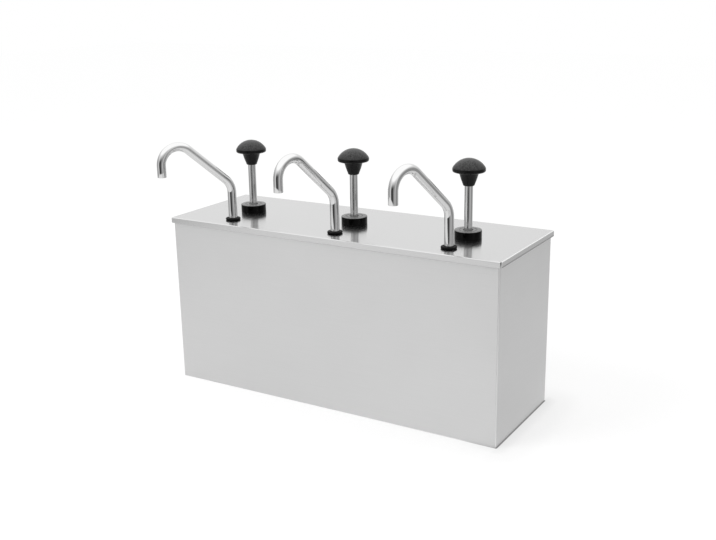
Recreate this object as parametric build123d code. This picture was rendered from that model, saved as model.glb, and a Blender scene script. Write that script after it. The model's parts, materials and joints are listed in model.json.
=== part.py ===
from build123d import *
import math
import os

# Sauce dispenser: a sheet steel box with a lift-off lid and three plunger pumps.
# Millimetres. The origin is on the floor under the middle of the box, +X to the right
# along the box, the front at -Y, +Z up. The pumps are numbered from the left.

# Box and lid
LID_LENGTH = 500.0
LID_WIDTH = 174.0
LID_TOP = 238.0
SHEET = 0.8
LID_OVERHANG = 3.0
LID_FLANGE_DEPTH = 7.5
LID_BEND_RADIUS = 1.6
LID_CORNER_NOTCH = 1.8
BODY_BEND_RADIUS = 2.0
HEM_DEPTH = 9.0
HEM_ROUNDING = 0.7
PAN_FLANGE_HEIGHT = 12.0
FIT_CLEARANCE = 0.1

# Sauce jars
JAR_SIDE = 154.0
JAR_PITCH = 162.0
JAR_TOP = 220.0
JAR_CORNER_RADIUS = 18.0
JAR_BOTTOM_RADIUS = 8.0
JAR_RIM_WIDTH = 2.0
JAR_RIM_HEIGHT = 4.0
JAR_RIM_ROUNDING = 1.4

# Pump layout: the riser stands this far from the plunger, and each pump is turned a little
PUMP_COUNT = 3
PUMP_PITCH = 168.5
PUMP_ROW_X = -2.0
PUMP_ROW_Y = 1.0
PUMP_AXIS_DISTANCE = 58.6
PUMP_TURNS = (7.4, 5.4, 1.4)

# Spout tube
TUBE_RADIUS = 6.0
TUBE_BORE_RADIUS = 5.0
RISER_CORNER_HEIGHT = 50.0
RISER_BEND_RADIUS = 25.0
SPOUT_INCLINE = 41.4
SPOUT_REACH = 98.7
SPOUT_BEND_RADIUS = 23.3
SPOUT_TIP_HEIGHT = 70.3
SPOUT_YAWS = (27.5, 10.8, 14.4)

# Knob and rod, heights above the lid
KNOB_RADIUS = 21.0
KNOB_DOME_HEIGHT = 12.6
KNOB_LIP = 4.8
KNOB_SHOULDER_ROUNDING = 2.4
KNOB_LIP_ROUNDING = 2.2
KNOB_TOP_HEIGHT = 102.0
KNOB_HEIGHT = 35.0
HUB_TOP_RADIUS = 12.6
HUB_MIDDLE_RADIUS = 10.2
HUB_BOTTOM_RADIUS = 7.3
HUB_ROUNDING = 2.0
ROD_RADIUS = 5.4
ROD_IN_KNOB = 15.0
ROD_SPIGOT_RADIUS = 4.0
ROD_SPIGOT_LENGTH = 12.0

# Lock nut, bush and gasket at the lid
NUT_RADIUS = 17.6
NUT_HEIGHT = 10.4
NUT_HOLE_RADIUS = 6.2
NUT_EDGE = 0.6
NUT_RING_RADIUS = 11.5
NUT_RING_WIDTH = 0.8
NUT_RING_DEPTH = 0.4
NECK_RADIUS = 12.8
NECK_TOP = 245.0
NECK_BORE_RADIUS = 10.0
BUSH_BOTTOM = 229.0
BUSH_FLANGE_RADIUS = 11.8
BUSH_FLANGE_HEIGHT = 1.2
BUSH_CLEARANCE = 0.05
STOP_RING_RADIUS = 9.5
STOP_RING_HEIGHT = 1.6
STOP_RING_GAP = 3.0
STOP_GROOVE_RADIUS = 4.6
GASKET_HEIGHT = 1.0
COLLAR_RADIUS = 18.0
COLLAR_HEIGHT = 4.2

# Pump barrel and piston
BARREL_RADIUS = 15.0
BARREL_BORE_RADIUS = 12.5
BARREL_FOOT = 41.0
PISTON_RADIUS = 12.3
PISTON_HEIGHT = 16.0
PISTON_BOTTOM = 108.0
PISTON_EDGE = 0.6
SEAL_GROOVE_RADIUS = 10.2
SEAL_HEIGHT = 2.6
SEAL_GAP = 0.1
SEAL_ROUNDING = 1.0
SLIDING_GAP = 0.05

# Return spring
SPRING_RADIUS = 10.0
SPRING_WIRE = 0.9
SPRING_END_PITCH = 2.5
SPRING_TURNS = 10
SPRING_SAMPLES_A_TURN = 72

# Valve body: the barrel stands on boss A and the riser in boss B
VALVE_BOTTOM = 9.0
BOSS_A_RADIUS = 19.0
BOSS_A_TOP = 49.0
CHAMBER_FLOOR = 33.0
BOSS_B_RADIUS = 12.0
BOSS_B_BOTTOM = 25.0
BOSS_B_TOP = 76.0
BOSS_EDGE = 1.0
LINK_WIDTH = 16.0
LINK_HEIGHT = 15.0
LINK_EDGE = 3.0
DUCT_Z = 37.0
DUCT_RADIUS = 3.5
DUCT_OVERLAP = 3.0
WEB_HEIGHT = 2.0
WEB_HOLE_RADIUS = 4.0
WEB_SLOT_WIDTH = 3.0
WEB_SLOT_LENGTH = 12.5
INLET_SEAT_TOP = 19.0
INLET_SEAT_RADIUS = 10.0
INLET_POCKET_RADIUS = 7.0
OUTLET_SEAT_TOP = 44.0
OUTLET_SEAT_RADIUS = 8.0
OUTLET_POCKET_RADIUS = 6.5
POCKET_HEIGHT = 12.0
SEAT_HOLE_RADIUS = 3.5
SEAT_HOLE_FLOOR = 32.5
SEAT_PORT_RADIUS = 3.0
SEAT_SLOT_WIDTH = 2.5
SEAT_SLOT_DEPTH = 2.0
BALL_RADIUS = 5.0
BALL_GAP = 0.05
RISER_FOOT_GAP = 0.3
RISER_SEAL_BOTTOM = 66.0
RISER_SEAL_RADIUS = 8.4
RISER_SEAL_HEIGHT = 2.8

# Grommet round the riser
GROMMET_RADIUS = 10.2
GROMMET_BEAD_HEIGHT = 3.0
GROMMET_ROUNDING = 1.45
GROMMET_NECK_RADIUS = 8.0
GROMMET_FLANGE_HEIGHT = 2.0

# Worked out from the dimensions above
LID_UNDERSIDE = LID_TOP - SHEET
BODY_LENGTH = LID_LENGTH - 2 * LID_OVERHANG
BODY_WIDTH = LID_WIDTH - 2 * LID_OVERHANG
INNER_LENGTH = BODY_LENGTH - 2 * SHEET
INNER_WIDTH = BODY_WIDTH - 2 * SHEET
INNER_BEND = BODY_BEND_RADIUS - SHEET
JAR_INNER_SIDE = JAR_SIDE - 2 * SHEET
COLLAR_TOP = LID_UNDERSIDE - GASKET_HEIGHT
COLLAR_BOTTOM = COLLAR_TOP - COLLAR_HEIGHT
NUT_TOP = LID_TOP + NUT_HEIGHT
NUT_ROOF = NECK_TOP + BUSH_FLANGE_HEIGHT
KNOB_TOP = LID_TOP + KNOB_TOP_HEIGHT
KNOB_BOTTOM = KNOB_TOP - KNOB_HEIGHT
DOME_BASE = KNOB_TOP - KNOB_DOME_HEIGHT
HUB_TOP = DOME_BASE - KNOB_LIP
ROD_TOP = KNOB_BOTTOM + ROD_IN_KNOB
PISTON_TOP = PISTON_BOTTOM + PISTON_HEIGHT
STOP_TOP = BUSH_BOTTOM - SLIDING_GAP
STOP_BOTTOM = STOP_TOP - STOP_RING_HEIGHT
RISER_FOOT = OUTLET_SEAT_TOP + POCKET_HEIGHT + WEB_HEIGHT + RISER_FOOT_GAP


def rounded_block(length, width, radius, low, high):
    """A block with rounded upright edges, centred on the origin."""
    return Pos(0, 0, low) * extrude(RectangleRounded(length, width, radius), high - low)


def disc(radius, low, high):
    """A round bar on the Z axis."""
    return Pos(0, 0, low) * extrude(Circle(radius), high - low)


def ring(outer, inner, low, high):
    """A round sleeve on the Z axis."""
    return disc(outer, low, high) - disc(inner, low, high)


def top_edges(solid):
    """The edges of the highest face."""
    return solid.faces().sort_by(Axis.Z)[-1].edges()


def bottom_edges(solid):
    """The edges of the lowest face."""
    return solid.faces().sort_by(Axis.Z)[0].edges()


def round_both_ends(solid, radius):
    """Round the edges of the lowest and the highest face."""
    rounded = fillet(top_edges(solid), radius)
    return fillet(bottom_edges(rounded), radius)


def housing_shell():
    """The folded wrap, with its top edge hemmed inwards."""
    wrap = rounded_block(BODY_LENGTH, BODY_WIDTH, BODY_BEND_RADIUS, 0, LID_UNDERSIDE)
    wrap -= rounded_block(INNER_LENGTH, INNER_WIDTH, INNER_BEND, 0, LID_UNDERSIDE - HEM_DEPTH)
    hem_length = INNER_LENGTH - 2 * SHEET
    hem_width = INNER_WIDTH - 2 * SHEET
    hem_bottom = LID_UNDERSIDE - HEM_DEPTH
    wrap -= rounded_block(hem_length, hem_width, INNER_BEND - SHEET, hem_bottom, LID_UNDERSIDE)
    return fillet(top_edges(wrap), HEM_ROUNDING)


def base_pan():
    """The bottom of the box: a tray whose flanges stand inside the wrap."""
    length = INNER_LENGTH - 2 * FIT_CLEARANCE
    width = INNER_WIDTH - 2 * FIT_CLEARANCE
    tray = rounded_block(length, width, INNER_BEND, 0, PAN_FLANGE_HEIGHT)
    inner_length = length - 2 * SHEET
    inner_width = width - 2 * SHEET
    return tray - rounded_block(
        inner_length, inner_width, INNER_BEND - SHEET, SHEET, PAN_FLANGE_HEIGHT
    )


def jar():
    """A deep square jar with a rolled rim, standing on the pan."""
    body = rounded_block(JAR_SIDE, JAR_SIDE, JAR_CORNER_RADIUS, SHEET, JAR_TOP)
    body = fillet(bottom_edges(body), JAR_BOTTOM_RADIUS)
    rim_side = JAR_SIDE + 2 * JAR_RIM_WIDTH
    rim_corner = JAR_CORNER_RADIUS + JAR_RIM_WIDTH
    rim = rounded_block(rim_side, rim_side, rim_corner, JAR_TOP - JAR_RIM_HEIGHT, JAR_TOP)
    rim = round_both_ends(rim, JAR_RIM_ROUNDING)
    hollow = rounded_block(
        JAR_INNER_SIDE, JAR_INNER_SIDE, JAR_CORNER_RADIUS - SHEET, 2 * SHEET, JAR_TOP
    )
    hollow = fillet(bottom_edges(hollow), JAR_BOTTOM_RADIUS - SHEET)
    return body + rim - hollow


def lid():
    """The tray lid: bent flanges, open corners, holes for the pumps and risers."""
    bottom = LID_TOP - LID_FLANGE_DEPTH
    middle = (LID_TOP + bottom) / 2
    tray = Pos(0, 0, middle) * Box(LID_LENGTH, LID_WIDTH, LID_FLANGE_DEPTH)
    tray = fillet(top_edges(tray), LID_BEND_RADIUS)
    inside_depth = LID_FLANGE_DEPTH - SHEET
    inside = Box(LID_LENGTH - 2 * SHEET, LID_WIDTH - 2 * SHEET, inside_depth)
    inside = Pos(0, 0, bottom + inside_depth / 2) * inside
    tray -= fillet(top_edges(inside), LID_BEND_RADIUS - SHEET)
    notch = Box(2 * LID_CORNER_NOTCH, 2 * LID_CORNER_NOTCH, 2 * LID_FLANGE_DEPTH)
    for side in (-1, 1):
        for end in (-1, 1):
            tray -= Pos(end * LID_LENGTH / 2, side * LID_WIDTH / 2, middle) * notch
    for index in range(PUMP_COUNT):
        neck_hole = disc(NECK_RADIUS + FIT_CLEARANCE, LID_UNDERSIDE, LID_TOP)
        riser_hole = disc(GROMMET_NECK_RADIUS, LID_UNDERSIDE, LID_TOP)
        tray -= at_plunger(index) * (neck_hole + from_plunger(PUMP_TURNS[index]) * riser_hole)
    return tray


def knob():
    """A domed knob with a tapered hub, and a blind hole for the rod."""
    dome_radius = (KNOB_RADIUS**2 + KNOB_DOME_HEIGHT**2) / (2 * KNOB_DOME_HEIGHT)
    dome = Pos(0, 0, KNOB_TOP - dome_radius) * Sphere(dome_radius)
    head = dome & disc(KNOB_RADIUS, DOME_BASE, KNOB_TOP)
    head += disc(KNOB_RADIUS, HUB_TOP, DOME_BASE)
    near_base = (DOME_BASE - FIT_CLEARANCE, DOME_BASE + FIT_CLEARANCE)
    shoulder = head.edges().filter_by_position(Axis.Z, *near_base)
    head = fillet(shoulder, KNOB_SHOULDER_ROUNDING)
    head = fillet(bottom_edges(head), KNOB_LIP_ROUNDING)
    hub_middle = (HUB_TOP + KNOB_BOTTOM) / 2
    side = ThreePointArc(
        (HUB_TOP_RADIUS, HUB_TOP), (HUB_MIDDLE_RADIUS, hub_middle), (HUB_BOTTOM_RADIUS, KNOB_BOTTOM)
    )
    outline = side + Polyline(
        (HUB_BOTTOM_RADIUS, KNOB_BOTTOM), (0, KNOB_BOTTOM), (0, HUB_TOP), (HUB_TOP_RADIUS, HUB_TOP)
    )
    hub = revolve(Plane.XZ * make_face(outline), Axis.Z)
    hub = fillet(bottom_edges(hub), HUB_ROUNDING)
    return head + hub - disc(ROD_RADIUS, KNOB_BOTTOM, ROD_TOP)


def plunger_rod():
    """The polished rod, with a groove for the stop ring and a spigot for the piston."""
    rod = disc(ROD_RADIUS, PISTON_TOP, ROD_TOP)
    rod -= ring(ROD_RADIUS, STOP_GROOVE_RADIUS, STOP_BOTTOM, STOP_TOP)
    return rod + disc(ROD_SPIGOT_RADIUS, PISTON_TOP - ROD_SPIGOT_LENGTH, PISTON_TOP)


def stop_ring():
    """The snap ring that meets the bush when the plunger is up."""
    washer = ring(STOP_RING_RADIUS, STOP_GROOVE_RADIUS, STOP_BOTTOM, STOP_TOP)
    gap = Box(STOP_RING_GAP, 2 * STOP_RING_RADIUS, 2 * STOP_RING_HEIGHT)
    return washer - Pos(0, STOP_RING_RADIUS, STOP_TOP) * gap


def piston():
    """The piston, with a groove for its seal."""
    body = disc(PISTON_RADIUS, PISTON_BOTTOM, PISTON_TOP)
    body = round_both_ends(body, PISTON_EDGE)
    groove_low = (PISTON_BOTTOM + PISTON_TOP - SEAL_HEIGHT) / 2 - SEAL_GAP
    groove_high = groove_low + SEAL_HEIGHT + 2 * SEAL_GAP
    body -= ring(PISTON_RADIUS, SEAL_GROOVE_RADIUS, groove_low, groove_high)
    return body - disc(ROD_SPIGOT_RADIUS, PISTON_TOP - ROD_SPIGOT_LENGTH, PISTON_TOP)


def piston_seal():
    """The rubber ring in the piston's groove."""
    low = (PISTON_BOTTOM + PISTON_TOP - SEAL_HEIGHT) / 2
    body = ring(BARREL_BORE_RADIUS - SLIDING_GAP, SEAL_GROOVE_RADIUS, low, low + SEAL_HEIGHT)
    return round_outer_rims(body, SEAL_ROUNDING)


def round_outer_rims(body, radius):
    """Round the outer circle of a sleeve at both ends."""
    top = body.edges().filter_by(GeomType.CIRCLE).group_by(Axis.Z)[-1].sort_by(SortBy.RADIUS)[-1]
    body = fillet(top, radius)
    bottom = body.edges().filter_by(GeomType.CIRCLE).group_by(Axis.Z)[0].sort_by(SortBy.RADIUS)[-1]
    return fillet(bottom, radius)


def lock_nut():
    """The round nut that clamps the barrel to the lid."""
    body = fillet(top_edges(disc(NUT_RADIUS, LID_TOP, NUT_TOP)), NUT_EDGE)
    body -= disc(NECK_RADIUS, LID_TOP, NUT_ROOF)
    body -= disc(NUT_HOLE_RADIUS, NUT_ROOF, NUT_TOP)
    groove_inner = NUT_RING_RADIUS - NUT_RING_WIDTH
    return body - ring(NUT_RING_RADIUS, groove_inner, NUT_TOP - NUT_RING_DEPTH, NUT_TOP)


def rod_bush():
    """The flanged guide bush in the barrel's neck."""
    bush = ring(NECK_BORE_RADIUS, ROD_RADIUS + BUSH_CLEARANCE, BUSH_BOTTOM, NECK_TOP)
    return bush + ring(BUSH_FLANGE_RADIUS, ROD_RADIUS + BUSH_CLEARANCE, NECK_TOP, NUT_ROOF)


def lid_gasket():
    """The flat ring between the barrel's collar and the lid."""
    return ring(COLLAR_RADIUS, NECK_RADIUS, COLLAR_TOP, LID_UNDERSIDE)


def pump_barrel():
    """The cylinder, with a collar under the lid and a neck through it."""
    barrel = disc(BARREL_RADIUS, BARREL_FOOT, COLLAR_TOP)
    barrel += disc(COLLAR_RADIUS, COLLAR_BOTTOM, COLLAR_TOP)
    barrel += disc(NECK_RADIUS, COLLAR_TOP, NECK_TOP)
    barrel -= disc(BARREL_BORE_RADIUS, BARREL_FOOT, BUSH_BOTTOM)
    return barrel - disc(NECK_BORE_RADIUS, BUSH_BOTTOM, NECK_TOP)


def ball_web(pocket_top):
    """The cutter that opens the web over a ball: a hole with crossed slots."""
    cutter = disc(WEB_HOLE_RADIUS, pocket_top, pocket_top + WEB_HEIGHT)
    slot = Pos(0, 0, pocket_top + WEB_HEIGHT / 2) * Box(WEB_SLOT_LENGTH, WEB_SLOT_WIDTH, WEB_HEIGHT)
    return cutter + slot + Rot(0, 0, 90) * slot


def duct(turn, radius, start, end):
    """A level bore from the plunger's axis towards the riser's, between two distances."""
    bore = Pos(0, -start, DUCT_Z) * Rot(90, 0, 0) * extrude(Circle(radius), end - start)
    return Rot(0, 0, turn) * bore


def valve_body(turn):
    """The foot block: suction boss under the barrel, duct, and discharge boss for the riser."""
    boss_a = round_both_ends(disc(BOSS_A_RADIUS, VALVE_BOTTOM, BOSS_A_TOP), BOSS_EDGE)
    boss_b = round_both_ends(disc(BOSS_B_RADIUS, BOSS_B_BOTTOM, BOSS_B_TOP), BOSS_EDGE)
    link = fillet(Box(LINK_WIDTH, PUMP_AXIS_DISTANCE, LINK_HEIGHT).edges().filter_by(Axis.Y), LINK_EDGE)
    link = Rot(0, 0, turn) * Pos(0, -PUMP_AXIS_DISTANCE / 2, DUCT_Z) * link
    body = boss_a + from_plunger(turn) * boss_b + link
    inlet_top = INLET_SEAT_TOP + POCKET_HEIGHT
    body -= disc(INLET_SEAT_RADIUS, VALVE_BOTTOM, INLET_SEAT_TOP)
    body -= disc(INLET_POCKET_RADIUS, INLET_SEAT_TOP, inlet_top)
    body -= ball_web(inlet_top)
    body -= disc(BARREL_BORE_RADIUS, CHAMBER_FLOOR, BARREL_FOOT)
    body -= disc(BARREL_RADIUS + SLIDING_GAP, BARREL_FOOT, BOSS_A_TOP)
    outlet_top = OUTLET_SEAT_TOP + POCKET_HEIGHT
    riser_bore = disc(OUTLET_SEAT_RADIUS, BOSS_B_BOTTOM, OUTLET_SEAT_TOP)
    riser_bore += disc(OUTLET_POCKET_RADIUS, OUTLET_SEAT_TOP, outlet_top)
    riser_bore += ball_web(outlet_top)
    riser_bore += disc(TUBE_RADIUS + SLIDING_GAP, outlet_top + WEB_HEIGHT, BOSS_B_TOP)
    seal_top = RISER_SEAL_BOTTOM + RISER_SEAL_HEIGHT
    riser_bore += disc(RISER_SEAL_RADIUS + SLIDING_GAP, RISER_SEAL_BOTTOM, seal_top)
    body -= from_plunger(turn) * riser_bore
    return body - duct(turn, DUCT_RADIUS, BARREL_BORE_RADIUS - DUCT_OVERLAP, PUMP_AXIS_DISTANCE)


def inlet_seat():
    """The screwed-in seat of the suction ball."""
    body = ring(INLET_SEAT_RADIUS, SEAT_HOLE_RADIUS, VALVE_BOTTOM, INLET_SEAT_TOP)
    slot = Box(2 * INLET_SEAT_RADIUS, SEAT_SLOT_WIDTH, 2 * SEAT_SLOT_DEPTH)
    return body - Pos(0, 0, VALVE_BOTTOM) * slot


def outlet_seat(turn):
    """The plug under the discharge ball, with a side port for the duct."""
    body = disc(OUTLET_SEAT_RADIUS, BOSS_B_BOTTOM, OUTLET_SEAT_TOP)
    body -= disc(SEAT_HOLE_RADIUS, SEAT_HOLE_FLOOR, OUTLET_SEAT_TOP)
    slot = Box(2 * OUTLET_SEAT_RADIUS, SEAT_SLOT_WIDTH, 2 * SEAT_SLOT_DEPTH)
    body -= Pos(0, 0, BOSS_B_BOTTOM) * slot
    body = from_plunger(turn) * body
    port_start = PUMP_AXIS_DISTANCE - OUTLET_SEAT_RADIUS - FIT_CLEARANCE
    return body - duct(turn, SEAT_PORT_RADIUS, port_start, PUMP_AXIS_DISTANCE)


def valve_ball(seat_top):
    """A steel ball resting on the rim of its seat's hole."""
    height = math.sqrt(BALL_RADIUS**2 - SEAT_HOLE_RADIUS**2)
    return Pos(0, 0, seat_top + height + BALL_GAP) * Sphere(BALL_RADIUS)


def spring_point(angle):
    """A point on the spring's centre line: the end turns lie close, the rest are even."""
    turns = angle / (2 * math.pi)
    low = CHAMBER_FLOOR + SPRING_WIRE + SLIDING_GAP
    high = PISTON_BOTTOM - SPRING_WIRE - SLIDING_GAP
    even_pitch = (high - low - 2 * SPRING_END_PITCH) / (SPRING_TURNS - 2)
    height = SPRING_END_PITCH * min(turns, 1)
    height += even_pitch * min(max(turns - 1, 0), SPRING_TURNS - 2)
    height += SPRING_END_PITCH * max(turns - SPRING_TURNS + 1, 0)
    return Vector(
        SPRING_RADIUS * math.cos(angle), SPRING_RADIUS * math.sin(angle), low + height
    )


def biarc(start, start_tangent, end, end_tangent):
    """Two arcs that leave start and reach end along the given unit tangents."""
    span = end - start
    both = start_tangent + end_tangent
    spread = 2 * (1 - start_tangent.dot(end_tangent))
    along = span.dot(both)
    reach = (math.sqrt(along**2 + spread * span.dot(span)) - along) / spread
    first_corner = start + start_tangent * reach
    second_corner = end - end_tangent * reach
    middle = (first_corner + second_corner) * 0.5
    turn = (second_corner - first_corner).normalized()
    first = Edge.make_tangent_arc(start, start_tangent, middle)
    return [first, Edge.make_tangent_arc(middle, turn, end)]


def return_spring():
    """The compression spring: one tube swept along half-turn pairs of arcs."""
    count = 2 * SPRING_TURNS
    probe = 2 * math.pi / SPRING_SAMPLES_A_TURN
    points = [spring_point(math.pi * step) for step in range(count + 1)]
    tangents = []
    for step in range(count + 1):
        flat = Vector(-math.sin(math.pi * step), math.cos(math.pi * step), 0)
        before = spring_point(max(math.pi * step - probe, 0))
        after = spring_point(min(math.pi * step + probe, math.pi * count))
        arc = (after - before).length
        climb = Vector(0, 0, (after - before).Z / arc)
        tangents.append((flat + climb).normalized())
    edges = []
    for step in range(count):
        edges += biarc(points[step], tangents[step], points[step + 1], tangents[step + 1])
    path = Wire(edges)
    start = Plane(origin=points[0], z_dir=path % 0)
    return sweep(start * Circle(SPRING_WIRE), path=path)


def spring_gap():
    """The least clear gap between neighbouring turns, from points along the line."""
    steps_a_turn = SPRING_SAMPLES_A_TURN
    step = 2 * math.pi / steps_a_turn
    points = [spring_point(step * index) for index in range(SPRING_TURNS * steps_a_turn + 1)]
    least = min(
        (points[high] - points[low]).length
        for low in range(len(points))
        for high in range(low + steps_a_turn // 2, min(low + 2 * steps_a_turn, len(points)))
    )
    return least - 2 * SPRING_WIRE


def spout_tube(yaw):
    """The bent steel tube, turned from the front towards the left by yaw degrees."""
    turn = math.radians(yaw)
    lean = math.tan(math.radians(SPOUT_INCLINE))
    tip_corner = RISER_CORNER_HEIGHT + SPOUT_REACH * lean
    tip_x = -SPOUT_REACH * math.sin(turn)
    tip_y = -SPOUT_REACH * math.cos(turn)
    path = FilletPolyline(
        (0, 0, RISER_FOOT),
        (0, 0, LID_TOP + RISER_CORNER_HEIGHT),
        (tip_x, tip_y, LID_TOP + tip_corner),
        (tip_x, tip_y, LID_TOP + SPOUT_TIP_HEIGHT),
        radius=[RISER_BEND_RADIUS, SPOUT_BEND_RADIUS],
    )
    section = Pos(0, 0, RISER_FOOT) * (Circle(TUBE_RADIUS) - Circle(TUBE_BORE_RADIUS))
    return sweep(section, path=path)


def spout_grommet():
    """The rubber grommet in the lid, with a rounded bead on top."""
    bead = disc(GROMMET_RADIUS, LID_TOP, LID_TOP + GROMMET_BEAD_HEIGHT)
    bead = round_both_ends(bead, GROMMET_ROUNDING)
    flange_bottom = LID_UNDERSIDE - GROMMET_FLANGE_HEIGHT
    body = bead + disc(GROMMET_NECK_RADIUS, LID_UNDERSIDE, LID_TOP + GROMMET_BEAD_HEIGHT / 2)
    body += disc(GROMMET_RADIUS, flange_bottom, LID_UNDERSIDE)
    return body - disc(TUBE_RADIUS + SLIDING_GAP, flange_bottom, LID_TOP + GROMMET_BEAD_HEIGHT)


def spout_seal():
    """The ring that seals the turning riser in the valve body."""
    low = RISER_SEAL_BOTTOM + SEAL_GAP
    high = RISER_SEAL_BOTTOM + RISER_SEAL_HEIGHT - SEAL_GAP
    return round_outer_rims(ring(RISER_SEAL_RADIUS, TUBE_RADIUS, low, high), SEAL_ROUNDING)


def at_plunger(index):
    """The place of a pump's plunger axis."""
    return Pos(PUMP_ROW_X + (index - (PUMP_COUNT - 1) / 2) * PUMP_PITCH, PUMP_ROW_Y, 0)


def from_plunger(turn):
    """The step from a pump's plunger axis to its riser's."""
    angle = math.radians(turn)
    return Pos(PUMP_AXIS_DISTANCE * math.sin(angle), -PUMP_AXIS_DISTANCE * math.cos(angle), 0)


def write(node, solid):
    """Write one sub-part."""
    export_step(solid, "parts/" + node + ".step")


def write_housing():
    """Write the box, its lid and the jars."""
    write("housing_shell", housing_shell())
    write("base_pan", base_pan())
    write("lid", lid())
    one_jar = jar()
    for index in range(PUMP_COUNT):
        x = (index - (PUMP_COUNT - 1) / 2) * JAR_PITCH
        write(f"jar_{index + 1}", Pos(x, 0, 0) * one_jar)


def write_pumps():
    """Write every pump: the pieces on the plunger's axis, then those on the riser's."""
    on_plunger = {
        "knob": knob(),
        "plunger_rod": plunger_rod(),
        "stop_ring": stop_ring(),
        "piston": piston(),
        "piston_seal": piston_seal(),
        "return_spring": return_spring(),
        "lock_nut": lock_nut(),
        "rod_bush": rod_bush(),
        "lid_gasket": lid_gasket(),
        "pump_barrel": pump_barrel(),
        "inlet_seat": inlet_seat(),
        "inlet_ball": valve_ball(INLET_SEAT_TOP),
    }
    on_riser = {
        "outlet_ball": valve_ball(OUTLET_SEAT_TOP),
        "spout_grommet": spout_grommet(),
        "spout_seal": spout_seal(),
    }
    for index in range(PUMP_COUNT):
        number = index + 1
        turn = PUMP_TURNS[index]
        plunger = at_plunger(index)
        riser = plunger * from_plunger(turn)
        for name, solid in on_plunger.items():
            write(f"{name}_{number}", plunger * solid)
        write(f"valve_body_{number}", plunger * valve_body(turn))
        write(f"outlet_seat_{number}", plunger * outlet_seat(turn))
        for name, solid in on_riser.items():
            write(f"{name}_{number}", riser * solid)
        write(f"spout_tube_{number}", riser * spout_tube(SPOUT_YAWS[index]))


os.makedirs("parts", exist_ok=True)
write_housing()
write_pumps()
print(f"return spring: least gap between turns {spring_gap():.2f} mm")
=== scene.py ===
import json
import math

import bmesh
import bpy
from mathutils import Matrix, Vector


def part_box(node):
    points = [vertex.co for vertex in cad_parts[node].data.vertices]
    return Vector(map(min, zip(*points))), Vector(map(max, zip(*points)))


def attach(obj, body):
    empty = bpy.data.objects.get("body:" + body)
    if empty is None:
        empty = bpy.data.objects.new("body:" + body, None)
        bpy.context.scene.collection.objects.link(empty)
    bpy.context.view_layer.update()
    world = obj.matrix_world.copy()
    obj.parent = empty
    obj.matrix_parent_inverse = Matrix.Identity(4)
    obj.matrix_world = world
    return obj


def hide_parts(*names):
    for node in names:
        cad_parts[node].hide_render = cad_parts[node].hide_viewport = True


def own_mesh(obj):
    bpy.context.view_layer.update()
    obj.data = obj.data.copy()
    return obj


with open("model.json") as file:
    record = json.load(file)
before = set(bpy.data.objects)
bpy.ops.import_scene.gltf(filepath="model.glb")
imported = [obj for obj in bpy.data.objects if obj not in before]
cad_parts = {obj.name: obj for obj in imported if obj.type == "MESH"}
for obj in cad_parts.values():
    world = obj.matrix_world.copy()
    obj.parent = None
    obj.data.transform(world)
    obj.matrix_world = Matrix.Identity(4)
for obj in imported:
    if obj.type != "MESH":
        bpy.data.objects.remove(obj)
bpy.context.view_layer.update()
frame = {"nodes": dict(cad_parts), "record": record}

MM = 0.001
PUMPS = (1, 2, 3)


# Small tools for values and nodes


def grey(level):
    """The linear value of a grey that shows as level out of 255."""
    part = level / 255
    return part / 12.92 if part <= 0.04045 else ((part + 0.055) / 1.055) ** 2.4


def tone(level, red=1.0, blue=1.0):
    """The same grey as a colour, its red and blue scaled a little."""
    value = grey(level)
    return (value * red, value, value * blue, 1.0)


def add(tree, kind, **settings):
    """A node with the given settings; values of inputs are given as in_<index>."""
    node = tree.nodes.new(kind)
    for name, value in settings.items():
        if name.startswith("in_"):
            node.inputs[int(name[3:])].default_value = value
        else:
            setattr(node, name, value)
    return node


def math_node(tree, operation, first, second=0.0):
    """A math node; each side is a number or a socket."""
    node = add(tree, "ShaderNodeMath", operation=operation)
    for index, side in enumerate((first, second)):
        if isinstance(side, (int, float)):
            node.inputs[index].default_value = side
        else:
            tree.links.new(side, node.inputs[index])
    return node.outputs[0]


def spread(tree, source, low, high):
    """A 0 to 1 socket laid out between low and high."""
    node = add(tree, "ShaderNodeMapRange", in_3=low, in_4=high)
    tree.links.new(source, node.inputs[0])
    return node.outputs[0]


def ramp(tree, source, stops):
    """A grey ramp over a 0 to 1 socket; stops are (place, value)."""
    node = add(tree, "ShaderNodeValToRGB")
    node.color_ramp.interpolation = "EASE"
    elements = node.color_ramp.elements
    while len(elements) > 1:
        elements.remove(elements[-1])
    for index, (place, value) in enumerate(stops):
        element = elements[0] if index == 0 else elements.new(place)
        element.position = place
        element.color = (value, value, value, 1.0)
    tree.links.new(source, node.inputs[0])
    return node.outputs[0]


def vector_node(tree, operation, first, second=None):
    """A vector math node's outputs; each side is a vector or a socket."""
    node = add(tree, "ShaderNodeVectorMath", operation=operation)
    for index, side in enumerate((first, second)):
        if isinstance(side, bpy.types.NodeSocket):
            tree.links.new(side, node.inputs[index])
        elif side is not None:
            node.inputs[index].default_value = side
    return node.outputs


def blend(tree, factor, first, second):
    """A colour between two others, by a socket; each of the two is a colour or a socket."""
    node = add(tree, "ShaderNodeMix", data_type="RGBA")
    tree.links.new(factor, node.inputs["Factor"])
    for label, side in (("A", first), ("B", second)):
        if isinstance(side, bpy.types.NodeSocket):
            tree.links.new(side, node.inputs[label])
        else:
            node.inputs[label].default_value = side
    return node.outputs["Result"]


def map_range(tree, source, low, high):
    """A socket's place between low and high, from 0 to 1."""
    node = add(tree, "ShaderNodeMapRange", in_1=low, in_2=high)
    tree.links.new(source, node.inputs[0])
    return node.outputs[0]


# Camera

CAMERA_PLACE = Vector((0.6884, -1.1379, 0.5603))
CAMERA_AZIMUTH = math.radians(31.06)
CAMERA_ELEVATION = math.radians(16.26)
CAMERA_ROLL = math.radians(-0.92)
FOCAL_PIXELS = 1011.0
IMAGE_WIDTH = 716
SENSOR_WIDTH = 36.0


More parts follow.
